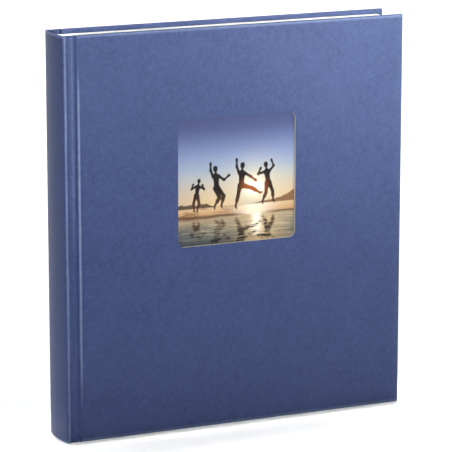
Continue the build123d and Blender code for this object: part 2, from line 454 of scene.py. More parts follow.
def waves_between(knots):
    """Outline points that run smoothly from each (x, dip) to the next."""
    points = [(knots[0][0], HALF_THICKNESS - knots[0][1])]
    for (x0, dip0), (x1, dip1) in zip(knots, knots[1:]):
        for t in np.linspace(0, 1, 10)[1:]:
            dip = between(t, 0, 1, dip0, dip1)
            points.append((x0 + (x1 - x0) * t, HALF_THICKNESS - dip))
    return points


def joint_points():
    """The ridge, the pressed valley, a soft bead, the crease and the board's rounded edge."""
    centre_depth = HALF_THICKNESS - RIDGE_RADIUS
    ridge = [
        (RIDGE_X - RIDGE_RADIUS * math.cos(a), centre_depth + RIDGE_RADIUS * math.sin(a))
        for a in np.linspace(RIDGE_ANGLE, math.radians(84), 12)
    ]
    foot, crease = (ridge[-1][0] + 0.25, 0.03), (CREASE_X, GROOVE_DEPTH)
    before = [foot, (VALLEY_X, VALLEY_DIP), (BEAD_X, BEAD_DIP), crease]
    rise = [
        (
            CREASE_X + (JOINT_EDGE_X - CREASE_X) * (1 - math.cos(a)),
            HALF_THICKNESS - GROOVE_DEPTH * (1 - math.sin(a)),
        )
        for a in np.linspace(math.radians(9), math.pi / 2, 14)
    ]
    after = [(JOINT_EDGE_X + 0.2, 0), (LINE_X, LINE_DIP), (LINE_X + 1.3, 0)]
    return ridge + waves_between(before)[:-1] + rise + waves_between(after)


def case_line(window):
    """The outer line of one side of the case, from the seam on the spine to the fore-edge."""
    arc = spine_points(SEAM_DEPTH, SPINE_RADIUS * math.sin(RIDGE_ANGLE), 8)[:-1]
    joint = joint_points()
    face = board_line(HALF_THICKNESS, joint[-1][0] + 0.8, FORE_EDGE_X, WRAP_ROUNDING, window)
    return arc + joint + face


def case_wall(line, spine, joint, cover):
    """A value for each stretch of the case's line: spine, joint and cover."""
    x = np.array(line)[:, 0]
    value = between(x, RIDGE_X - 0.6, RIDGE_X + 0.6, spine, joint)
    end = BOARD_X + BOARD_SETBACK
    return np.where(x > RIDGE_END_X, between(x, end - 1.2, end - 0.5, joint, cover), value)


def on_turn_in(slab, i, j):
    """Whether a quad of the slab's inner face lies on a turn-in."""
    middle_z = (slab.lattice(i, j, 0)[2] + slab.lattice(i, j + 1, 0)[2]) / 2
    middle_x = (slab.line[i][0] + slab.line[i + 1][0]) / 2
    near_end = middle_z < TURN_IN or middle_z > ALBUM_HEIGHT - TURN_IN
    return near_end or middle_x > FORE_EDGE_X - TURN_IN


def skin(name, slab, hole, material):
    """A wrap of paper round a slab: open on its inner face past the turn-ins."""
    patch = None
    if hole:
        rings, around, patch = window_patch(slab, WRAP_RIM)

    def keep(axis, end, u, v):
        if axis == 2 and end == 0 and patch and in_patch(patch, u, v):
            return False
        return not (axis == 2 and end == 1) or on_turn_in(slab, u, v)

    keys, index, faces = slab.surface(keep)
    outer = [slab.rounded(*key) for key in keys]
    inner = [slab.rounded(*key, inset=PAPER) for key in keys]
    if hole:
        rows = []
        for ring in rings:
            rows.append([])
            for point in ring:
                rows[-1].append(len(outer))
                outer.append(point)
                under = point.copy()
                under[1] = -slab.side * (HALF_THICKNESS - PAPER)
                inner.append(under)
        rows.append([index[(i, j, 0)] for i, j in around])
        faces += ring_faces(zip(rows, rows[1:]))
    faces = oriented(faces)
    return mesh_object(name, *thicken(np.array(outer), np.array(inner), faces), material)


def oriented(faces):
    """The same quads, turned so that neighbours agree."""
    edges = {}
    for number, face in enumerate(faces):
        for a, b in zip(face, face[1:] + face[:1]):
            edges.setdefault(frozenset((a, b)), []).append(number)
    turned, queue = {0: faces[0]}, [0]
    while queue:
        face = turned[queue.pop()]
        for a, b in zip(face, face[1:] + face[:1]):
            for other in edges[frozenset((a, b))]:
                if other not in turned:
                    candidate = faces[other]
                    same_way = (a, b) in zip(candidate, candidate[1:] + candidate[:1])
                    turned[other] = candidate[::-1] if same_way else candidate
                    queue.append(other)
    return [tuple(turned[n]) for n in range(len(faces))]


def solid_board(name, slab, hole, material):
    """A solid board with rounded edges, with the window cut through it if it has one."""
    patch = None
    if hole:
        near, around, patch = window_patch(slab, BOARD_RIM)

    def keep(axis, end, u, v):
        return not (axis == 2 and patch and in_patch(patch, u, v))

    keys, index, faces = slab.surface(keep)
    points = [slab.rounded(*key) for key in keys]
    if hole:
        last = slab.counts[2] - 1
        front_rows, back_rows = [], []
        for rows, w, k in ((front_rows, 0, 0), (back_rows, -slab.wall[0], last)):
            for ring in near:
                rows.append([])
                for point in ring:
                    rows[-1].append(len(points))
                    points.append(point + np.array([0, -slab.side * w, 0]))
            rows.append([index[(i, j, k)] for i, j in around])
        strips = list(zip(front_rows, front_rows[1:])) + list(zip(back_rows, back_rows[1:]))
        faces += ring_faces(strips + [(front_rows[0], back_rows[0])])
    return mesh_object(name, np.array(points), faces, material)


# ---- materials


def linear(red, green, blue):
    """A linear colour from 0-255 display values."""
    shares = [value / 255 for value in (red, green, blue)]
    return tuple(v / 12.92 if v < 0.04 else ((v + 0.055) / 1.055) ** 2.4 for v in shares) + (1.0,)


class Nodes:
    """A material's node tree, with short ways to add to it."""

    def __init__(self, name, roughness, **sockets):
        self.material = bpy.data.materials.new(name)
        self.material.use_nodes = True
        self.tree = self.material.node_tree
        self.shader = self.tree.nodes["Principled BSDF"]
        self.shader.inputs["Roughness"].default_value = roughness
        for socket, value in sockets.items():
            self.shader.inputs[socket.replace("_", " ")].default_value = value
        self.place = self.tree.nodes.new("ShaderNodeTexCoord").outputs["Object"]

    def link(self, source, target):
        self.tree.links.new(source, target)

    def fill(self, socket, value):
        """Link a socket to value if that is a socket too, or set it to value."""
        if isinstance(value, bpy.types.NodeSocket):
            self.link(value, socket)
        else:
            socket.default_value = value

    def add(self, kind, settings=None, **inputs):
        """A new node, its inputs given by name or, as in i0, by number."""
        made = self.tree.nodes.new("ShaderNode" + kind)
        for key, value in (settings or {}).items():
            setattr(made, key, value)
        for key, value in inputs.items():
            by_number = key[0] == "i" and key[1:].isdigit()
            self.fill(made.inputs[int(key[1:]) if by_number else key.replace("_", " ")], value)
        return made

    def scaled(self, x, y, z):
        """Object coordinates stretched along each axis."""
        return self.add("Mapping", Vector=self.place, Scale=(x, y, z)).outputs["Vector"]

    def noise(self, size, detail=3.0, roughness=0.55, vector=None, distortion=0.0):
        """Noise with features about this many millimetres across, from 0 to 1."""
        return self.add(
            "TexNoise",
            Vector=vector or self.place,
            Scale=1000.0 / size,
            Detail=detail,
            Roughness=roughness,
            Distortion=distortion,
        ).outputs["Fac"]

    def math(self, operation, a, b=0.0, c=0.0):
        """The result of one operation on a, b and c."""
        return self.add("Math", {"operation": operation}, i0=a, i1=b, i2=c).outputs[0]

    def remap(self, value, low, high, to_low=0.0, to_high=1.0):
        """value taken from one range to another, and held inside it."""
        return self.add(
            "MapRange", Value=value, From_Min=low, From_Max=high, To_Min=to_low, To_Max=to_high
        ).outputs["Result"]

    def mix(self, share, a, b):
        """A colour between a and b."""
        return self.add("Mix", {"data_type": "RGBA"}, i0=share, i6=a, i7=b).outputs[2]

    def finish(self, colour, roughness=None, height=None, strength=0.3, distance=0.1):
        """Wire colour, roughness and a height in millimetres into the shader."""
        self.link(colour, self.shader.inputs["Base Color"])
        if roughness:
            self.link(roughness, self.shader.inputs["Roughness"])
        if height:
            bump = self.add("Bump", Height=height, Strength=strength, Distance=distance * MM)
            self.link(bump.outputs["Normal"], self.shader.inputs["Normal"])
        return self.material


COVER_DEEP = linear(48, 62, 107)
COVER_MID = linear(56, 71, 117)
COVER_PALE = linear(68, 84, 131)
COVER_FIBRE = linear(84, 100, 142)
# A pale colour for rubbed wear and painted highlights, and a dark one for painted shade, on the
# edges and ends
COVER_WORN_HIGHLIGHT = linear(146, 163, 198)
COVER_PAINTED_SHADE = linear(32, 40, 68)


def cover_paper_material():
    """Slate blue cover paper with cloudy mottling, fine fibres and a satin finish.

    A painted-light attribute on the mesh makes it paler above 0, as rubbed wear and painted
    highlight, and darker below 0, as painted shade."""
    n = Nodes("slate_cover_paper", 0.42, Specular_IOR_Level=0.22)
    clouds = n.noise(26, 4, 0.6)
    blotches = n.noise(3.4, 3, 0.6)
    flecks = n.noise(1.9, 2, 0.6)
    fibres = n.noise(0.9, 2, 0.6, n.scaled(1, 1, 0.35), 0.8)
    cross = n.noise(0.8, 2, 0.6, n.scaled(0.3, 0.3, 1), 0.8)
    pits = n.noise(0.35, 2, 0.5)
    base = n.mix(n.remap(clouds, 0.3, 0.7), COVER_DEEP, COVER_MID)
    base = n.mix(n.remap(blotches, 0.36, 0.68, 0, 0.72), base, COVER_PALE)
    base = n.mix(n.remap(flecks, 0.36, 0.62, 0, 0.5), base, COVER_DEEP)
    base = n.mix(n.remap(fibres, 0.62, 0.8, 0, 0.35), base, COVER_FIBRE)
    base = n.mix(n.remap(cross, 0.64, 0.82, 0, 0.25), base, COVER_FIBRE)
    # Paler above 0 as rubbed wear and painted highlight, darker below 0 as painted shade
    wear_and_painted_light = n.add("Attribute", {"attribute_name": "wear_and_painted_light"}).outputs["Fac"]
    wear_and_highlight = n.math("MULTIPLY", wear_and_painted_light, n.remap(blotches, 0.3, 0.6, 0.75, 1))
    base = n.mix(wear_and_highlight, base, COVER_WORN_HIGHLIGHT)
    base = n.mix(n.math("MULTIPLY", wear_and_painted_light, -1.0), base, COVER_PAINTED_SHADE)
    rough = n.remap(n.math("MULTIPLY_ADD", pits, 0.5, blotches), 0.5, 1.0, 0.4, 0.58)
    height = n.math("MULTIPLY", n.math("ADD", blotches, pits), 0.5)
    height = n.math("MULTIPLY_ADD", n.math("ADD", fibres, cross), 0.35, height)
    return n.finish(base, rough, height, 0.35, 0.05)


def card_material(name, deep, pale, roughness=0.75, grain=1.0):
    """Uncoated paper or card: soft fibre clouds, small specks and a fine tooth."""
    n = Nodes(name, roughness, Specular_IOR_Level=0.25)
    clouds = n.noise(9 * grain, 4, 0.6)
    fibres = n.noise(1.3 * grain, 3, 0.65, n.scaled(1, 1, 0.4), 1.2)
    specks = n.noise(0.45 * grain, 2, 0.5)
    colour = n.mix(n.remap(clouds, 0.3, 0.7), linear(*deep), linear(*pale))
    colour = n.mix(n.remap(specks, 0.68, 0.8, 0, 0.3), colour, linear(*[v * 0.82 for v in deep]))
    height = n.math("MULTIPLY_ADD", fibres, 0.6, n.math("MULTIPLY", specks, 0.4))
    rough = n.remap(fibres, 0.3, 0.7, roughness - 0.08, roughness + 0.08)
    return n.finish(colour, rough, height, 0.4, 0.05)


def board_material():
    """Cream board core, its layers showing on cut edges."""
    n = Nodes("cream_board_core", 0.85, Specular_IOR_Level=0.2)
    layers = n.noise(0.5, 2, 0.6, n.scaled(0.03, 1, 0.03))
    fibres = n.noise(0.7, 3, 0.65, distortion=1.0)
    clouds = n.noise(6, 3, 0.6)
    colour = n.mix(n.remap(layers, 0.35, 0.65), linear(214, 208, 198), linear(238, 234, 226))
    colour = n.mix(n.remap(clouds, 0.35, 0.7, 0, 0.35), colour, linear(226, 218, 208))
    colour = n.mix(n.remap(fibres, 0.62, 0.75, 0, 0.4), colour, linear(188, 178, 166))
    height = n.math("MULTIPLY_ADD", layers, 0.7, fibres)
    return n.finish(colour, None, height, 0.5, 0.08)


def gauze_material():
    """Open cotton gauze stiffened with glue: a plain weave of fine threads."""
    n = Nodes("cotton_gauze", 0.8, Specular_IOR_Level=0.25)
    parts = n.add("SeparateXYZ", Vector=n.place)
    pitch = 2 * math.pi / (0.9 * MM)
    level = n.math("ADD", parts.outputs[0], parts.outputs[1])
    across = n.math("SINE", n.math("MULTIPLY", level, pitch))
    up = n.math("SINE", n.math("MULTIPLY", parts.outputs[2], pitch))
    weave = n.math("MAXIMUM", across, up)
    wear = n.noise(1.5, 3)
    colour = n.mix(n.remap(weave, 0.0, 1.0), linear(176, 168, 150), linear(232, 227, 214))
    colour = n.mix(n.remap(wear, 0.45, 0.7, 0, 0.4), colour, linear(205, 196, 176))
    return n.finish(colour, None, weave, 0.6, 0.12)


def thread_material():
    """Waxed linen thread with its twist."""
    n = Nodes("linen_thread", 0.55, Specular_IOR_Level=0.35)
    parts = n.add("SeparateXYZ", Vector=n.place)
    run = n.math("MULTIPLY_ADD", parts.outputs[1], 1.7, parts.outputs[2])
    twist = n.math("SINE", n.math("MULTIPLY", run, 2 * math.pi / (0.7 * MM)))
    fuzz = n.noise(0.6, 3)
    colour = n.mix(n.remap(twist, -1, 1), linear(196, 184, 160), linear(236, 228, 208))
    colour = n.mix(n.remap(fuzz, 0.55, 0.75, 0, 0.4), colour, linear(176, 160, 132))
    return n.finish(colour, None, twist, 0.5, 0.1)


def print_material():
    """A semi-gloss photographic print: its picture is painted on the mesh."""
    n = Nodes("title_print_picture", 0.42, Specular_IOR_Level=0.16)
    picture = n.add("Attribute", {"attribute_name": "picture"}).outputs["Color"]
    grain = n.noise(0.4, 2)
    tooth = n.noise(0.8, 2)
    colour = n.mix(n.remap(grain, 0.3, 0.7, 0, 0.008), picture, linear(235, 225, 200))
    return n.finish(colour, n.remap(tooth, 0.3, 0.7, 0.38, 0.48), tooth, 0.08, 0.03)


cover_paper = cover_paper_material()
board_core = board_material()
page_card = card_material("page_card", (236, 234, 228), (248, 246, 241))
guard_card = card_material("guard_card", (230, 226, 217), (243, 240, 232))
endpaper = card_material("endpaper", (228, 226, 220), (244, 242, 237), 0.7)
interleaf = card_material("interleaf_tissue", (238, 238, 234), (250, 250, 247), 0.6, 1.6)
lining_paper = card_material("lining_paper", (190, 176, 150), (210, 198, 172))
gauze = gauze_material()
thread = thread_material()


def dress(node, material):
    """Give a CAD node that stays in the picture its material."""
    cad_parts[node].data.materials.clear()
    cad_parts[node].data.materials.append(material)


def riding(piece, body, replaced):
    """Let a rigid piece ride on a body, in place of its CAD node."""
    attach(piece, body)
    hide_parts(replaced)


def blended(piece, replaced):
    """Bake a sheet's place into its mesh, in place of its CAD nodes, which are hidden."""
    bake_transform(piece)
    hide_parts(*replaced)


# ---- case

spine_line = spine_points(-SEAM_DEPTH, SEAM_DEPTH, 25)
spine_levels = list(SPINE_MARGINS) + spread(TURN_IN, ALBUM_HEIGHT - TURN_IN, SHEET_STEP)[1:-1]
spine_levels += [ALBUM_HEIGHT - margin for margin in reversed(SPINE_MARGINS)]
spine_slab = Slab(
    FRONT, spine_line, SPINE_WALL, SPINE_ROUNDING, 0, ALBUM_HEIGHT, spine_levels, True, True
)


def paint_wear_and_edge_light(piece):
    """Mark where the cover paper is painted pale on its ridges and edges, as rubbed wear and
    painted highlight, and dark on its ends' flat faces, as painted shade.
    """
    mesh = piece.data
    place = np.array([vertex.co for vertex in mesh.vertices]) / MM
    x, depth, z = place[:, 0], np.abs(place[:, 1]), place[:, 2]
    outside = step(depth, HALF_THICKNESS - 1.2, HALF_THICKNESS - 0.6)
    along = z / ALBUM_HEIGHT
    drift = layered_noise(along * 9, x * 0 + 2.5, 67)
    # Painted highlights: pale lines on the ridge and joint (partly rubbed wear), the bead, the head
    # and tail bevels and the spine's rim; the joint's fade near both ends and the bead's in the
    # lower half follow the light.
    ridge = bell(x, RIDGE_TOP_X + 0.3 * (drift - 0.5), 1.5) * (0.85 + 0.4 * (drift - 0.5))
    joint = bell(x, JOINT_EDGE_X - 0.2, 1.5) * step(along, 0.06, 0.24) * step(along, 0.95, 0.82)
    bead = bell(x, BEAD_X, 2.2) * step(along, 0.4, 0.7)
    from_end = np.minimum(z, ALBUM_HEIGHT - z)
    bevel = bell(from_end, 0.9, 0.8) * step(depth, HALF_THICKNESS - 0.8, HALF_THICKNESS - 0.2)
    spine_rim = bell(from_end, 0.7, 0.7) * step(x, RIDGE_X + 1.0, RIDGE_X - 0.5)
    fore_edge = step(x, FORE_EDGE_X - 1.2, FORE_EDGE_X - 0.3)
    wear_and_highlight = (
        RIDGE_WEAR_HIGHLIGHT * ridge * outside, JOINT_WEAR_HIGHLIGHT * joint * outside, BEAD_HIGHLIGHT * bead,
        BEVEL_HIGHLIGHT * bevel, SPINE_RIM_HIGHLIGHT * spine_rim, RUB_FORE_EDGE * fore_edge,
    )
    # The flat head and tail faces are painted darker: painted shade.
    wear_and_painted_light = np.max(wear_and_highlight, axis=0) - END_PAINTED_SHADE * step(from_end, 0.45, 0.1)
    layer = mesh.attributes.new("wear_and_painted_light", "FLOAT", "POINT")
    layer.data.foreach_set("value", wear_and_painted_light.astype(np.float32))


spine_wrap = skin("spine_wrap", spine_slab, False, cover_paper)
paint_wear_and_edge_light(spine_wrap)
riding(spine_wrap, "spine", "spine_cover_paper")

for side, name in COVERS:
    has_window = side == FRONT
    line = case_line(has_window)
    wrap_slab = Slab(
        side, line, case_wall(line, SPINE_WALL, JOINT_WALL, COVER_WALL),
        case_wall(line, SPINE_ROUNDING, JOINT_ROUNDING, WRAP_ROUNDING), 0, ALBUM_HEIGHT,
        board_levels(0, ALBUM_HEIGHT, has_window), True, False,
    )
    wrap = skin(f"{name}_wrap", wrap_slab, has_window, cover_paper)
    paint_wear_and_edge_light(wrap)
    cover = f"{name}_cover"
    y = -side * HALF_THICKNESS
    paper_nodes = [f"{name}_cover_paper", f"{name}_joint_strip"]
    blended(wrap, paper_nodes)

    inset = WRAP_ROUNDING - PAPER
    board_slab = Slab(
        side,
        board_line(BOARD_OUTER, BOARD_X + BOARD_SETBACK, FORE_EDGE_X - PAPER, inset, has_window),
        BOARD_OUTER - BOARD_INNER, inset, PAPER, ALBUM_HEIGHT - PAPER,
        board_levels(PAPER, ALBUM_HEIGHT - PAPER, has_window), False, False,
    )
    board = solid_board(f"{name}_board_core", board_slab, has_window, board_core)
    riding(board, cover, f"{name}_board")

dress("spine_board", board_core)


# ---- sheets of the case and block

SHEET_LEVELS = spread(SQUARE, ALBUM_HEIGHT - SQUARE, SHEET_STEP)
FLYLEAF_PLANE = -(flyleaf_low[1] + flyleaf_high[1]) / 2
FOLD_BEND = (WRAP_INNER + FLYLEAF_PLANE - PAPER / 2) / 2
FOLD_RADIUS = (WRAP_INNER - FLYLEAF_PLANE - PAPER / 2) / 2 - PAPER / 2
FOLD_X = fold_low[0] + FOLD_RADIUS + PAPER / 2
FLANGE_PLANE = WRAP_INNER + PAPER / 2


def leaf_columns(crease_x):
    """Places along a leaf: close together at its crease, and wider apart beyond it."""
    near = spread(crease_x - CREASE_GAP, crease_x + CREASE_RUN, BEND_STEP)
    return near + spread(near[-1], LEAF_END_X, LEAF_STEP)[1:]


def ripple_of(seed, size):
    """A gentle unevenness for one sheet, in millimetres, growing away from its crease."""
    rng = np.random.default_rng(seed)
    waves = [
        (rng.uniform(0.012, 0.03), rng.uniform(0.008, 0.035), rng.uniform(0, 2 * math.pi))
        for _ in range(4)
    ]

    def ripple(x, z):
        reach = np.clip((x - FLYLEAF_CREASE_X - 10) / 120, 0, 1)
        total = sum(np.sin(kx * x + kz * z + phase) for kx, kz, phase in waves)
        return size * reach * total / 3

    return ripple


for side, name in COVERS:
    cover = f"{name}_cover"
    y = -side * HALF_THICKNESS

    arc = [
        (FOLD_X - FOLD_RADIUS * math.sin(a), -side * (FOLD_BEND + FOLD_RADIUS * math.cos(a)))
        for a in np.linspace(0, math.pi, 9)
    ]
    stub_end = FLYLEAF_CREASE_X - CREASE_GAP
    stub = [(x, arc[-1][1]) for x in spread(FOLD_X, stub_end, STUB_STEP)[1:]]
    fold = swept_sheet(f"{name}_endpaper_fold_sheet", arc + stub, SHEET_LEVELS, PAPER, endpaper)
    riding(fold, "spine", f"{name}_endpaper_fold")

    bridge_line = [(x, arc[0][1]) for x in spread(FOLD_X, BOARD_X, BEND_STEP)]
    bridge = swept_sheet(f"{name}_endpaper_bridge", bridge_line, SHEET_LEVELS, PAPER, endpaper)
    blended(bridge, [])

    flange_xs = spread(flange_low[0], BOARD_X, BEND_STEP)
    flange_xs += spread(BOARD_X, flange_high[0], GAUZE_STEP)[1:]
    flange_line = [(x, -side * FLANGE_PLANE) for x in flange_xs]
    flange_levels = spread(flange_low[2], flange_high[2], GAUZE_LEVEL_STEP)
    flange = swept_sheet(f"{name}_gauze_flange_cloth", flange_line, flange_levels, PAPER, gauze)
    blended(flange, [f"{name}_gauze_flange"])

    flyleaf_line = [(x, -side * FLYLEAF_PLANE) for x in leaf_columns(FLYLEAF_CREASE_X)]
    flyleaf = swept_sheet(
        f"{name}_flyleaf_sheet", flyleaf_line, SHEET_LEVELS, PAPER, endpaper,
        ripple_of(side + 40, FLYLEAF_RIPPLE),
    )
    blended(
        flyleaf,
        [f"{name}_flyleaf"],
    )
    dress(f"{name}_pastedown", endpaper)
    dress(f"{name}_board_lining", guard_card)

gauze_x = (gauze_low[0] + gauze_high[0]) / 2
back_gauze = swept_sheet(
    "spine_gauze_cloth", [(gauze_x, y) for y in spread(gauze_low[1], gauze_high[1], GAUZE_STEP)],
    spread(gauze_low[2], gauze_high[2], GAUZE_LEVEL_STEP), gauze_high[0] - gauze_low[0], gauze,
)
riding(back_gauze, "spine", "spine_gauze")

dress("spine_lining", lining_paper)
dress("sewing_threads", thread)
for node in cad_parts:
    if node.startswith("section_"):
        dress(node, guard_card if node.endswith("_guards") else page_card)

leaf_nodes = sorted(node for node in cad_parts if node.startswith("leaf_"))
for number, node in enumerate(leaf_nodes):
    low, high = node_box(node)
    y = (low[1] + high[1]) / 2
    thickness = high[1] - low[1]
    short = LEAF_VARIATION * (0.5 + 0.5 * math.sin(number * 2.3))
    columns = [min(x, high[0] - short) for x in leaf_columns(low[0])]
    trim = LEAF_VARIATION * (0.5 + 0.5 * math.cos(number * 1.7))
    levels = spread(SQUARE + trim, ALBUM_HEIGHT - SQUARE - LEAF_VARIATION + trim, SHEET_STEP)
    line, ripple = [(x, y) for x in columns], ripple_of(number, LEAF_RIPPLE)
    leaf = swept_sheet(f"{node}_sheet", line, levels, thickness, page_card, ripple)
    blended(leaf, [node])

    tissue_y = y + thickness / 2 + INTERLEAF_GAP
    tissue_margin = SQUARE + INTERLEAF_TRIM
    tissue = swept_sheet(
        f"interleaf_{number + 1:02d}",
        [(min(x, high[0] - INTERLEAF_SHORT), tissue_y) for x in leaf_columns(low[0])],
        spread(tissue_margin, ALBUM_HEIGHT - SQUARE - INTERLEAF_TRIM, SHEET_STEP),
        INTERLEAF_THICKNESS, interleaf, ripple_of(number + 100, INTERLEAF_RIPPLE),
    )
    blended(tissue, [])


# ---- title print


def paint(colours, *coats):
    """The colours with each coat, a colour and its share, laid over them in turn."""
    for over, share in coats:
        colours = colours + (np.array(over)[:3] - colours) * share[:, None]
    return colours


def ramp(value, stops):
    """Colours along a list of (place, (red, green, blue)) stops."""
    places = [place for place, _ in stops]
    colours = np.array([linear(*colour)[:3] for _, colour in stops])
    return np.column_stack([np.interp(value, places, colours[:, n]) for n in range(3)])


def limb(u, v, start, end, start_width, end_width):
    """Signed distance to a tapered limb, negative inside it."""
    start, end = np.array(start), np.array(end)
    run = end - start
    t = np.clip(((u - start[0]) * run[0] + (v - start[1]) * run[1]) / (run @ run), 0, 1)
    gap = np.hypot(u - start[0] - t * run[0], v - start[1] - t * run[1])
    return gap - (start_width + (end_width - start_width) * t)


LIMB_SOFTNESS = 0.012


def figure(u, v, hip, height, lean, arms, legs):
    """Signed distance to a jumping figure of limbs that run into each other.

    Angles are in degrees clockwise from straight up; arms and legs are pairs of
    (upper angle, lower angle)."""

    def onward(point, angle, length):
        a = math.radians(angle)
        return point[0] + math.sin(a) * length * height, point[1] + math.cos(a) * length * height

    def part(start, end, start_width, end_width):
        return limb(u, v, start, end, start_width * height, end_width * height)

    waist = onward(hip, lean, 0.10)
    chest = onward(hip, lean * 1.2, 0.25)
    neck = onward(chest, lean * 1.4, 0.09)
    head = onward(neck, lean * 1.6, 0.075)
    parts = [
        part(hip, waist, 0.060, 0.052),
        part(waist, chest, 0.054, 0.076),
        part(chest, neck, 0.050, 0.024),
        part(head, onward(head, lean, 0.030), 0.050, 0.053),
    ]
    for sign, (upper, lower) in zip((-1, 1), arms):
        shoulder = onward(chest, lean + sign * 78, 0.070)
        elbow = onward(shoulder, upper, 0.155)
        hand = onward(elbow, lower, 0.135)
        parts += [
            part(shoulder, elbow, 0.034, 0.024),
            part(elbow, hand, 0.025, 0.017),
            part(hand, onward(hand, lower, 0.025), 0.026, 0.024),
        ]
    for sign, (upper, lower) in zip((-1, 1), legs):
        joint = onward(hip, 90 + lean, sign * 0.030)
        knee = onward(joint, upper, 0.23)
        calf = onward(knee, lower, 0.08)
        heel = onward(knee, lower, 0.22)
        toe = onward(heel, lower - 40, 0.06)
        parts += [
            part(joint, knee, 0.058, 0.036),
            part(knee, calf, 0.035, 0.036),
            part(calf, heel, 0.035, 0.017),
            part(heel, toe, 0.018, 0.011),
        ]
    soft = LIMB_SOFTNESS * height
    return -soft * np.log(np.sum(np.exp(-np.clip(np.array(parts), -0.1, 0.3) / soft), axis=0))


# Four jumpers of no one in particular: hip place, height, lean, arms and legs
JUMPERS = (
    ((0.165, 0.395), 0.27, 8, ((-118, 22), (122, -24)), ((196, 176), (168, 196))),
    ((0.335, 0.440), 0.36, -3, ((-22, 0), (128, 52)), ((156, 212), (142, 196))),
    ((0.545, 0.445), 0.37, 3, ((-20, 0), (122, 128)), ((192, 194), (108, 122))),
    ((0.775, 0.450), 0.34, -6, ((-104, 26), (42, -22)), ((186, 204), (158, 176))),
)
HORIZON = 0.295
SHORE = 0.215
SUN = (0.655, 0.425)
SUNLIGHT = (1.75, 1.65, 1.35)
PRINT_DENSITY = np.array([0.67, 0.67, 0.72])


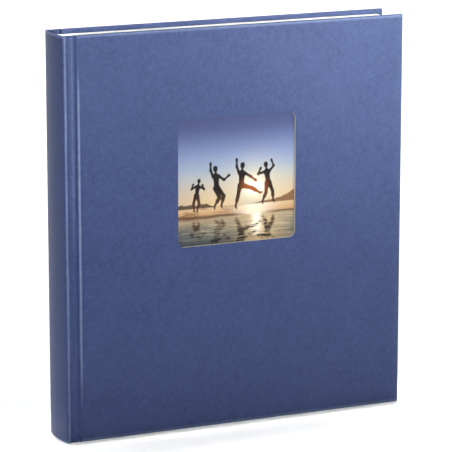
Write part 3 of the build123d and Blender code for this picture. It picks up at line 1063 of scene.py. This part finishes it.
def seaside_picture(u, v):
    """Linear colours of a sunset beach with four jumpers, at window shares u and v."""
    # The sky darkens towards the top: the print's own sunset sky, with painted shade from the
    # window's top edge in its top stops.
    sky = ramp(v, (
        (0.28, (250, 216, 158)), (0.36, (246, 218, 172)), (0.44, (232, 214, 188)),
        (0.52, (206, 208, 206)), (0.60, (172, 188, 212)), (0.70, (146, 163, 203)),
        (0.80, (111, 127, 173)), (0.90, (84, 96, 144)), (1.02, (66, 75, 121)),
    ))
    away = np.hypot((u - SUN[0]) * 0.95, (v - SUN[1]) * 1.15)
    haze = layered_noise(u * 1.6, v * 7, 11)
    sky = paint(
        sky,
        (linear(150, 160, 186), 0.30 * step(away, 0.35, 0.75) * step(v, 0.72, 0.4)),
        (linear(250, 226, 190), 0.14 * step(haze, 0.5, 0.75) * bell(v, 0.48, 0.2)),
        (linear(255, 244, 214), 0.95 * np.exp(-((away / 0.19) ** 2))),
        (SUNLIGHT, 0.9 * np.exp(-((away / 0.085) ** 2))),
        (SUNLIGHT, step(away, 0.070, 0.040)),
    )

    depth = np.clip((SHORE - v) / SHORE, 0, 1)
    swell = layered_noise(u * 3.2, 7 * np.log1p(depth * 5), 23)
    ripples = layered_noise(u * 7 + 3 * swell, 26 * np.log1p(depth * 4), 31)
    sand = ramp(v, ((0.20, (206, 158, 108)), (0.25, (232, 188, 136)), (0.30, (244, 212, 164))))
    grain = layered_noise(u * 9, v * 60, 37)
    sand = paint(
        sand,
        (linear(150, 104, 70), 0.7 * step(grain, 0.48, 0.66) * step(u, 0.85, 0.2)),
        (SUNLIGHT, 0.6 * np.exp(-(((u - SUN[0]) / 0.15) ** 2))),
    )

    water = ramp(v, (
        (0.0, (78, 84, 92)), (0.06, (106, 108, 106)), (0.12, (150, 142, 122)),
        (0.18, (190, 170, 136)), (0.23, (200, 174, 136)),
    ))
    glow = np.exp(-(((u - SUN[0] - 0.06) / (0.15 + 0.08 * depth)) ** 2))
    core = np.exp(-(((u - SUN[0] - 0.02) / 0.042) ** 2)) * step(depth, 0.95, 0.45)
    water = paint(
        water,
        (linear(98, 104, 104), 0.8 * step(u, 0.6, 0.0) * step(depth, 0.0, 0.6)),
        (linear(158, 152, 142), 0.5 * step(u, 0.8, 1.0)),
        (linear(58, 56, 56), 0.55 * step(ripples, 0.56, 0.74) * step(depth, 0.2, 0.9)),
        (linear(236, 216, 176), 0.45 * step(ripples, 0.46, 0.30) * step(depth, 0.95, 0.4)),
        (linear(255, 222, 168), 0.9 * glow * (0.55 + 0.45 * step(ripples, 0.62, 0.42))),
        (SUNLIGHT, core * (0.7 + 0.3 * step(ripples, 0.6, 0.4))),
    )

    mirror = SHORE + (SHORE - v) * 1.5 + 0.010 * np.sin(90 * swell)
    shaken = u + 0.045 * (ripples - 0.5) * step(depth, 0.0, 0.5)
    mirrored = np.min([figure(shaken, mirror + 0.05, *jumper) for jumper in JUMPERS], axis=0)
    broken = 0.45 + 0.55 * step(ripples, 0.36, 0.48)
    tint = ramp(v, ((0.02, (24, 18, 20)), (0.13, (66, 42, 30)), (0.22, (120, 78, 48))))
    share = step(mirrored, 0.010, -0.006) * broken * step(depth, 0.0, 0.25)
    water = water + (tint - water) * (0.94 * share)[:, None]

    bank = SHORE + 0.016 * (layered_noise(u * 8, u * 0 + 0.5, 41) - 0.5)
    share = step(v, bank - 0.002, bank + 0.002)
    ground = water + (sand - water) * share[:, None]
    edge = np.exp(-(((v - bank - 0.004) / (0.009 + 0.010 * step(u, 0.6, 0.0))) ** 2))
    share = 0.85 * edge * step(np.abs(u - SUN[0]), 0.04, 0.2)
    ground = paint(ground, (linear(92, 58, 40), share))

    share = step(v, HORIZON - 0.003, HORIZON + 0.003)
    colours = ground + (sky - ground) * share[:, None]
    trees = layered_noise(u * 26, u * 0 + 3.5, 53)
    left_hill = HORIZON + (0.012 + 0.036 * trees) * step(u, 0.34, 0.22)
    right_hill = HORIZON + (0.016 + 0.085 * trees) * step(u, 0.80, 1.02) + 0.020 * step(u, 0.6, 0.8)
    for hill, colour in ((left_hill, (62, 48, 34)), (right_hill, (138, 92, 58))):
        land = step(hill - v, -0.001, 0.004) * step(v, HORIZON - 0.006, HORIZON + 0.001)
        colours = paint(colours, (linear(*colour), 0.9 * land))

    jumpers = np.min([figure(u, v, *jumper) for jumper in JUMPERS], axis=0)
    solid = step(jumpers, 0.0022, -0.0022)
    colours = paint(
        colours,
        (linear(20, 11, 15), solid),
        (linear(112, 66, 42), 0.55 * step(v, 0.44, 0.30) * solid),
        (linear(196, 104, 44), 0.9 * step(away, 0.15, 0.04) * solid),
    )
    return np.clip(colours * PRINT_DENSITY, 0, 1)


def title_print():
    """The print behind the window: a fine front face that holds the picture, closed behind."""
    columns = int(round((print_high[0] - print_low[0]) / PRINT_PITCH))
    rows = int(round((print_high[2] - print_low[2]) / PRINT_PITCH))
    x, z = np.meshgrid(
        np.linspace(print_low[0], print_high[0], columns + 1),
        np.linspace(print_low[2], print_high[2], rows + 1),
        indexing="ij",
    )
    x, z = x.ravel(), z.ravel()
    front = np.column_stack([x, np.full(len(x), print_low[1]), z])

    def at(i, j):
        return i * (rows + 1) + j

    faces = [
        (at(i, j), at(i + 1, j), at(i + 1, j + 1), at(i, j + 1))
        for i in range(columns)
        for j in range(rows)
    ]
    rim = [at(i, 0) for i in range(columns)] + [at(columns, j) for j in range(rows)]
    rim += [at(i, rows) for i in range(columns, 0, -1)] + [at(0, j) for j in range(rows, 0, -1)]
    behind = front[rim].copy()
    behind[:, 1] = print_high[1]
    count = len(front)
    around = range(len(rim))
    faces += ring_faces([(rim, [count + n for n in around])])
    faces.append(tuple(count + n for n in around))
    points = np.vstack([front, behind])
    piece = mesh_object("title_print_sheet", points, faces, print_material())
    u = (points[:, 0] - WINDOW_X) / (2 * WINDOW_HALF) + 0.5
    v = (points[:, 2] - WINDOW_Z) / (2 * WINDOW_HALF) + 0.5
    colours = np.column_stack([seaside_picture(u, v), np.ones(len(points))])
    layer = piece.data.attributes.new("picture", "FLOAT_COLOR", "POINT")
    layer.data.foreach_set("color", colours.astype(np.float32).ravel())
    return piece


title = title_print()
riding(title, "front_cover", "title_print")


# ---- stage, camera and light

WHITE = (1, 1, 1, 1)
FLOOR_REACH = 6
FLOOR_COLOUR = (0.9, 0.9, 0.9, 1)
FLOOR_EMISSION = 0.15
WORLD_STRENGTH = 0.03

corners = [(a * FLOOR_REACH, b * FLOOR_REACH, 0) for a, b in ((-1, -1), (1, -1), (1, 1), (-1, 1))]
floor_mesh = bpy.data.meshes.new("floor")
floor_mesh.from_pydata(corners, [], [(0, 1, 2, 3)])
floor = add_object("floor", floor_mesh)
floor_look = Nodes(
    "pale_floor", 0.8, Base_Color=FLOOR_COLOUR, Emission_Color=WHITE,
    Emission_Strength=FLOOR_EMISSION,
)
floor_mesh.materials.append(floor_look.material)

world = bpy.data.worlds.new("studio")
bpy.context.scene.world = world
world.use_nodes = True
background = world.node_tree.nodes["Background"]
background.inputs["Color"].default_value = WHITE
background.inputs["Strength"].default_value = WORLD_STRENGTH
bpy.context.scene.view_settings.view_transform = "Standard"

# The camera is aimed at the window's middle line, half way up the album, and then moved
# a little left and down. Its distances are in metres, and its lens in millimetres.
CAMERA_YAW = math.radians(24.25)
CAMERA_PITCH = math.radians(12.55)
CAMERA_DISTANCE = 2.1378
CAMERA_LEFT = 0.0012
CAMERA_DOWN = 0.0033
CAMERA_LENS = 214.7
camera_data = bpy.data.cameras.new("camera")
camera_data.lens = CAMERA_LENS
camera_data.clip_start, camera_data.clip_end = 0.05, 50
camera = add_object("camera", camera_data)
right = Vector((math.cos(CAMERA_YAW), -math.sin(CAMERA_YAW), 0))
forward = Vector((
    math.cos(CAMERA_PITCH) * math.sin(CAMERA_YAW),
    math.cos(CAMERA_PITCH) * math.cos(CAMERA_YAW),
    -math.sin(CAMERA_PITCH),
))
up = right.cross(forward)
aim = Vector((WINDOW_X * MM, 0, ALBUM_HEIGHT / 2 * MM))
camera.location = aim - CAMERA_LEFT * right - CAMERA_DISTANCE * forward - CAMERA_DOWN * up
camera.rotation_mode = "QUATERNION"
camera.rotation_quaternion = forward.to_track_quat("-Z", "Y")
bpy.context.scene.camera = camera


# Each light's name, place, target, width, height, watts, the angle it's gridded to in
# degrees, and the blue of its colour. All stand clear of the covers' and leaves' swing.
# The strip lights the front cover's upper half, the keys its right side and its top
# right corner, and the ceiling whitens the floor behind.
NO_GRID = 180
LIGHTS = (
    ("strip", (-0.02, -1.3, 0.50), (-0.02, 0, 0.40), 0.9, 0.08, 1.3, 32, 0.90),
    ("key", (0.75, -1.2, 0.40), (0.12, 0, 0.22), 0.12, 0.12, 0.17, 28, 0.88),
    ("corner_key", (0.45, -1.3, 0.52), (0.17, 0, 0.37), 0.10, 0.10, 0.19, 20, 0.86),
    ("top_light", (0.0, 0.012, 1.6), (0.0, 0.012, 0), 0.32, 0.02, 0.11, 5, 1),
    ("floor_light", (-0.01, -0.17, 1.3), (-0.01, -0.17, 0), 0.82, 0.20, 0.82, 12, 1),
    ("left_fill", (-1.3, -0.80, 0.04), (-0.1, 0, 0.10), 0.30, 0.4, 3, NO_GRID, 1),
    ("right_fill", (1.6, 0.25, 0.35), (0.14, 0, 0.16), 0.5, 0.7, 9, NO_GRID, 1),
    ("ceiling", (0.8, 4.2, 3.0), (0.8, 4.2, 0), 7.6, 7.6, 445, NO_GRID, 1),
)


def area_light(name, place, target, width, height, power, beam, blue):
    """A soft rectangular light that faces its target, gridded to its beam's angle."""
    data = bpy.data.lights.new(name, "AREA")
    data.shape = "RECTANGLE"
    data.size, data.size_y = width, height
    data.energy, data.color = power, (1, 1, blue)
    data.spread = math.radians(beam)
    light = add_object(name, data)
    light.location = place
    light.rotation_mode = "QUATERNION"
    light.rotation_quaternion = (Vector(target) - Vector(place)).to_track_quat("-Z", "Y")
    light.visible_camera = False


for light in LIGHTS:
    area_light(*light)
